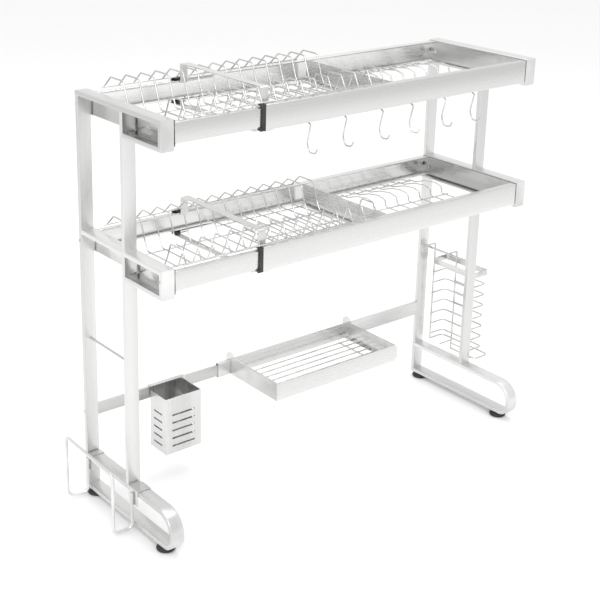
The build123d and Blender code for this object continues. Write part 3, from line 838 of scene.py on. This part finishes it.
def board_rack():
    """Basket of level wire loops with a flat band, hooked over the right tie rod."""
    lo, hi = limits("board_rack")
    outer = hi[0] - 2.0
    inner = OUT + RACK_WIRE
    rear = BACK - 26
    front = BACK - 152
    middle = BACK - 96

    def ring(front_y, z, diameter, bend):
        points = [
            (inner, middle, z), (inner, front_y, z), (outer, front_y, z), (outer, rear, z),
            (inner - 0.2, rear, z),
        ]
        return wire(points, diameter, bend, Z_AXIS)

    parts = [ring(front, RACK_LOW + n * RACK_PITCH, RACK_WIRE, 8) for n in range(RACK_LOOPS)]
    low = RACK_LOW - 13
    parts.append(ring(front - 22, low, 4, 12))
    leg_x = inner + 1.8
    hook = limits("right_tie_rod")[1][2] + 2.7
    for y in (rear, middle):
        points = [(leg_x, y, low), (leg_x, y, hook), (LEVEL - 9, y, hook), (LEVEL - 9, y, hook - 16)]
        parts.append(wire(points, 4, 4, Y_AXIS))
        for n in range(RACK_LOOPS):
            parts.append(bead((leg_x - 1, y, RACK_LOW + n * RACK_PITCH), (2.0, 2.6, 2.4)))
    for y in (BACK - 60, BACK - 130):
        parts.append(wire([(inner, y, low - 3.2), (outer, y, low - 3.2)], RACK_WIRE, 0, Y_AXIS))
    left = inner - RACK_WIRE / 2 + 0.1
    right = outer + RACK_WIRE / 2
    near = front - 3
    far = rear + 2
    path = [((left + right) / 2, (near + far) / 2, z) for z in BAND_HEIGHTS]
    outline = rounded_box(right - left, far - near, 4.0, 5)
    inside = rounded_box(right - left - 2 * BAND_T, far - near - 2 * BAND_T, 2.6, 5)
    parts.append(sleeve(path, outline, inside, X_AXIS))
    piece("board_rack_wires", parts, "board_rack", wire_steel, ["board_rack"])


def lid_hoop():
    """Bent rod on two folded plates that clip over the left floor loop."""
    lo, hi = limits("lid_hoop")
    rod_d = 6.5
    near = -OUT - 1.5 - rod_d / 2 + 0.4
    out = lo[0] + rod_d / 2
    rear = BACK - 18
    mid = BACK - 182
    low = 8
    points = [
        (near, rear, FOOT_TOP - 4), (near, rear, low), (out, rear + 10, low), (out, rear + 10, 142),
        (out, mid, 134), (out, mid, low), (near, mid, low), (near, mid, FOOT_TOP - 4),
    ]
    rod_part = bent_rod(points, rod_d, 12, 20)
    clips = []
    side_x = -OUT - 0.9
    inner_x = -INN + 0.9
    roof = FOOT_TOP + 0.9
    for y0, y1 in ((rear - 8, rear + 6), (mid - 15, mid + 14)):
        line = [(side_x, 58), (side_x, roof), (inner_x, roof), (inner_x, FOOT_TOP - 14)]
        clips.append(along_y(strip(line, 1.2, 1.2), y0, y1))
    welds = [bead((near + 2, y, 74), (2.0, 2.6, 9.0)) for y in (rear, mid)]
    piece("lid_hoop_rod", [rod_part] + welds, "lid_hoop", rod_steel, ["lid_hoop"])
    piece("lid_hoop_clips", clips, "lid_hoop", sheet_up)


board_rack()
lid_hoop()

# =====================================================================
# Bolts: domed heads with a round recess
# =====================================================================
BACK_BOLTS = (810, 543, 179.5)
FRONT_BOLT = 545
TRAY_BOLT_SIZE = 1.25
HEAD = [
    (0.4, -1.0), (1.5, -1.0), (1.6, 0.5), (1.9, 0.9), (2.6, 0.85), (3.3, 0.4), (3.6, -0.2),
    (3.6, -1.4), (0.4, -1.4),
]


def bolt_head(centre, axis, way, size=1.0):
    """Domed bolt head turned about X or Y, facing way along it."""
    outline = np.array(HEAD) * size
    outline[:, 1] = outline[:, 1] * way
    return lathe(outline, centre, axis, 24)


for side, name in ((-1, "left"), (1, "right")):
    heads = []
    for y, z in [(BACK - 4, z) for z in BACK_BOLTS] + [(FRONT + 4, FRONT_BOLT)]:
        heads.append(bolt_head((side * (OUT + 1.1), y, z), "X", side))
    wall = side * (TRAY_END - SHEET)
    rear_web = BACK - SHEET - (RAIL_SET if side < 0 else 0)
    for top in TOPS.values():
        place = (wall - side * 2.4, BACK - SLEEVE_D - 8, top - 24)
        heads.append(bolt_head(place, "X", -side, TRAY_BOLT_SIZE))
        place = (wall - side * 8, rear_web - 2.4, top - 21)
        heads.append(bolt_head(place, "Y", -1, TRAY_BOLT_SIZE))
    piece(name + "_bolt_heads", heads, name + "_half", bolt_steel, [name + "_bolts"])


# =====================================================================
# Camera, floor and light
# =====================================================================
camera_data = bpy.data.cameras.new("camera")
camera = bpy.data.objects.new("camera", camera_data)
bpy.context.scene.collection.objects.link(camera)
CAMERA_PLACE = (-1.6042, -1.8320, 1.3546)
YAW = math.radians(-37.378)
PITCH = math.radians(-17.827)
ROLL = math.radians(0.679)
reach = math.cos(PITCH)
ahead = Vector((-math.sin(YAW) * reach, math.cos(YAW) * reach, math.sin(PITCH)))
level = Vector((math.cos(YAW), math.sin(YAW), 0))
above = level.cross(ahead)
right = math.cos(ROLL) * level + math.sin(ROLL) * above
upward = math.cos(ROLL) * above - math.sin(ROLL) * level
turned = Matrix((right, upward, -ahead)).transposed().to_4x4()
camera.matrix_world = Matrix.Translation(CAMERA_PLACE) @ turned
camera_data.sensor_width = 36.0
camera_data.lens = 75.33
camera_data.shift_x = 0.1
camera_data.shift_y = -0.1667
camera_data.clip_end = 50
bpy.context.scene.camera = camera
bpy.context.scene.view_settings.view_transform = "Standard"

FLOOR_REACH = 30
floor_mesh = bpy.data.meshes.new("studio_floor")
corners = [(x * FLOOR_REACH, y * FLOOR_REACH, 0) for x, y in ((-1, -1), (1, -1), (1, 1), (-1, 1))]
floor_mesh.from_pydata(corners, [], [(0, 1, 2, 3)])
floor = bpy.data.objects.new("studio_floor", floor_mesh)
floor_paint = bpy.data.materials.new("floor_paint")
floor_paint.use_nodes = True
paint = floor_paint.node_tree.nodes["Principled BSDF"]
paint.inputs["Base Color"].default_value = (0.92, 0.92, 0.92, 1)
paint.inputs["Roughness"].default_value = 0.9
floor_mesh.materials.append(floor_paint)
bpy.context.scene.collection.objects.link(floor)

world = bpy.data.worlds.new("studio")
bpy.context.scene.world = world
world.use_nodes = True
sky = world.node_tree.nodes["Background"]
sky.inputs["Color"].default_value = (1, 1, 1, 1)
sky.inputs["Strength"].default_value = 1.0


def lamp(name, place, target, size, power):
    """Large soft area light aimed at a point."""
    data = bpy.data.lights.new(name, "AREA")
    data.shape = "RECTANGLE"
    data.size, data.size_y = size
    data.energy = power
    obj = bpy.data.objects.new(name, data)
    obj.location = place
    obj.rotation_euler = (Vector(target) - Vector(place)).to_track_quat("-Z", "Y").to_euler()
    bpy.context.scene.collection.objects.link(obj)


lamp("key", (-2.2, -2.6, 3.0), (0, 0, 0.5), (2.0, 2.0), 60)
lamp("top", (0.6, 0.4, 3.2), (0, 0, 0.5), (2.5, 2.0), 35)
